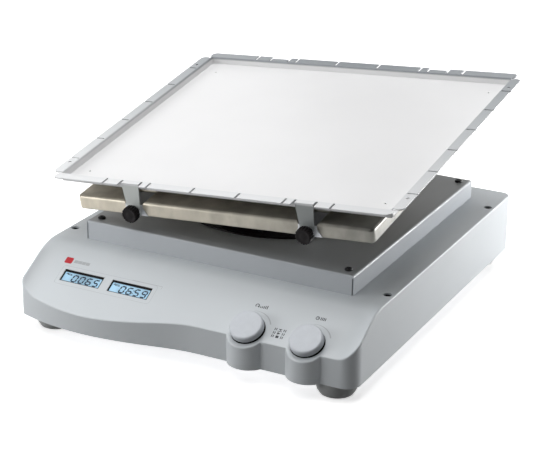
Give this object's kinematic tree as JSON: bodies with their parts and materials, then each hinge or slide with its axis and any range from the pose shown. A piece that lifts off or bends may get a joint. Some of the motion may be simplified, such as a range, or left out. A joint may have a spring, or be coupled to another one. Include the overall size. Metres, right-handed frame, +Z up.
{
  "type": "laboratory orbital shaker",
  "caption": "Bench shaker: boxy casing with sloping control panel, raised deck and a square platform with a shallow dish tray that tilts and circles on a leaning crank.",
  "frame": {"origin": "drive axis at bench level", "axes": "+Z up along the drive axis, control panel and knobs towards -Y, +X to the right seen from the panel"},
  "size_m": [0.3905, 0.426, 0.2179],
  "materials": {
    "casing_grey": "satin",
    "deck_grey": "satin",
    "black_steel": "satin",
    "plated_steel": "satin",
    "rubber_dark": "matte",
    "bright_steel": "polished",
    "cast_aluminium": "satin",
    "iron": "matte",
    "motor_black": "satin",
    "black_plastic": "satin",
    "knob_grey": "satin",
    "encoder_metal": "satin",
    "display_blue": "glossy",
    "white_plastic": "matte",
    "circuit_board": "satin",
    "plate_champagne": "satin",
    "tray_white": "satin"
  },
  "bodies": {
    "base": {"casing": "casing_grey", "casing_screws": "black_steel", "deck": "deck_grey", "deck_seal": "black_plastic", "deck_brackets": "deck_grey", "deck_screws": "black_steel", "base_plate": "plated_steel", "feet": "rubber_dark", "foot_screws": "bright_steel", "drive_plate": "plated_steel", "bearing_housing": "cast_aluminium", "spindle_bearings": "bright_steel", "drive_screws": "bright_steel", "belt": "rubber_dark", "motor_bracket": "plated_steel", "motor": "motor_black", "guide_cups": "black_plastic", "guide_cup_screws": "black_steel", "knob_bezels": "black_plastic", "encoders": "encoder_metal", "display_bezels": "black_plastic", "display_panes": "display_blue", "display_modules": "white_plastic", "display_board": "circuit_board", "power_inlet": "black_plastic", "switch_body": "black_plastic", "serial_port": "encoder_metal", "power_supply": "plated_steel", "control_board": "circuit_board"},
    "spindle": {"spindle": "bright_steel", "drive_pulley": "cast_aluminium", "crank_head": "cast_aluminium", "crank_screws": "bright_steel", "counterweight": "iron", "counterweight_screws": "bright_steel", "crank_pin": "bright_steel", "pin_retainer": "bright_steel"},
    "platform": {"hub": "cast_aluminium", "hub_bearings": "bright_steel", "hub_screws": "bright_steel", "guide_pins": "bright_steel", "guide_sleeves": "rubber_dark", "platform_plate": "plate_champagne", "clamp_blocks": "cast_aluminium", "tray": "tray_white"},
    "motor_rotor": {"motor_shaft": "bright_steel", "motor_pulley": "cast_aluminium"},
    "speed_plunger": {"speed_shaft": "bright_steel"},
    "speed_knob": {"speed_knob": "knob_grey"},
    "time_plunger": {"time_shaft": "bright_steel"},
    "time_knob": {"time_knob": "knob_grey"},
    "rocker": {"power_rocker": "black_plastic"},
    "washer_front_left": {"washer_front_left": "bright_steel"},
    "screw_front_left": {"thumb_screw_front_left": "black_plastic"},
    "washer_front_right": {"washer_front_right": "bright_steel"},
    "screw_front_right": {"thumb_screw_front_right": "black_plastic"},
    "washer_back_left": {"washer_back_left": "bright_steel"},
    "screw_back_left": {"thumb_screw_back_left": "black_plastic"},
    "washer_back_right": {"washer_back_right": "bright_steel"},
    "screw_back_right": {"thumb_screw_back_right": "black_plastic"}
  },
  "joints": [
    {"name": "drive_spin", "type": "hinge", "parent": "base", "child": "spindle", "pos_m": [0, 0, 0.1], "axis": [0, 0, 1], "continuous": true},
    {"name": "platform_nutation", "type": "hinge", "parent": "spindle", "child": "platform", "pos_m": [0, 0, 0.217], "axis": [-0.0789, -0.1351, 0.9877], "continuous": true},
    {"name": "motor_spin", "type": "hinge", "parent": "base", "child": "motor_rotor", "pos_m": [0, 0.118, 0.08], "axis": [0, 0, 1], "continuous": true},
    {"name": "speed_press", "type": "slide", "parent": "base", "child": "speed_plunger", "axis": [0, 0.5446, -0.8387], "range_m": [0, 0.0008], "stiffness_N_per_m": 1500, "springref_m": -0.001},
    {"name": "speed_turn", "type": "hinge", "parent": "speed_plunger", "child": "speed_knob", "pos_m": [0.069, -0.20975, 0.04817], "axis": [0, -0.5446, 0.8387], "continuous": true},
    {"name": "time_press", "type": "slide", "parent": "base", "child": "time_plunger", "axis": [0, 0.5446, -0.8387], "range_m": [0, 0.0008], "stiffness_N_per_m": 1500, "springref_m": -0.001},
    {"name": "time_turn", "type": "hinge", "parent": "time_plunger", "child": "time_knob", "pos_m": [0.132, -0.20975, 0.04817], "axis": [0, -0.5446, 0.8387], "continuous": true},
    {"name": "power_switch", "type": "hinge", "parent": "base", "child": "rocker", "pos_m": [-0.085, 0.1822, 0.046], "axis": [-1, 0, 0], "range_deg": [0, 16]},
    {"name": "clamp_slide_front_left", "type": "slide", "parent": "platform", "child": "washer_front_left", "axis": [0.0054, -0.9908, -0.1351], "range_m": [0, 0.003]},
    {"name": "clamp_turn_front_left", "type": "hinge", "parent": "washer_front_left", "child": "screw_front_left", "pos_m": [-0.09047, -0.15583, 0.12012], "axis": [0.0054, -0.9908, -0.1351], "range_deg": [0, 1350]},
    {"name": "clamp_slide_front_right", "type": "slide", "parent": "platform", "child": "washer_front_right", "axis": [0.0054, -0.9908, -0.1351], "range_m": [0, 0.003]},
    {"name": "clamp_turn_front_right", "type": "hinge", "parent": "washer_front_right", "child": "screw_front_right", "pos_m": [0.10292, -0.15687, 0.13543], "axis": [0.0054, -0.9908, -0.1351], "range_deg": [0, 1350]},
    {"name": "clamp_slide_back_left", "type": "slide", "parent": "platform", "child": "washer_back_left", "axis": [-0.0054, 0.9908, 0.1351], "range_m": [0, 0.003]},
    {"name": "clamp_turn_back_left", "type": "hinge", "parent": "washer_back_left", "child": "screw_back_left", "pos_m": [-0.09226, 0.1751, 0.16523], "axis": [-0.0054, 0.9908, 0.1351], "range_deg": [0, 1350]},
    {"name": "clamp_slide_back_right", "type": "slide", "parent": "platform", "child": "washer_back_right", "axis": [-0.0054, 0.9908, 0.1351], "range_m": [0, 0.003]},
    {"name": "clamp_turn_back_right", "type": "hinge", "parent": "washer_back_right", "child": "screw_back_right", "pos_m": [0.10113, 0.17406, 0.18054], "axis": [-0.0054, 0.9908, 0.1351], "range_deg": [0, 1350]}
  ],
  "couplings": [
    {"joint": "platform_nutation", "follows": "drive_spin", "ratio": -1},
    {"joint": "motor_spin", "follows": "drive_spin", "ratio": 4},
    {"joint": "clamp_turn_front_left", "follows": "clamp_slide_front_left", "rad_per_m": 7854},
    {"joint": "clamp_turn_front_right", "follows": "clamp_slide_front_right", "rad_per_m": 7854},
    {"joint": "clamp_turn_back_left", "follows": "clamp_slide_back_left", "rad_per_m": 7854},
    {"joint": "clamp_turn_back_right", "follows": "clamp_slide_back_right", "rad_per_m": 7854}
  ]
}
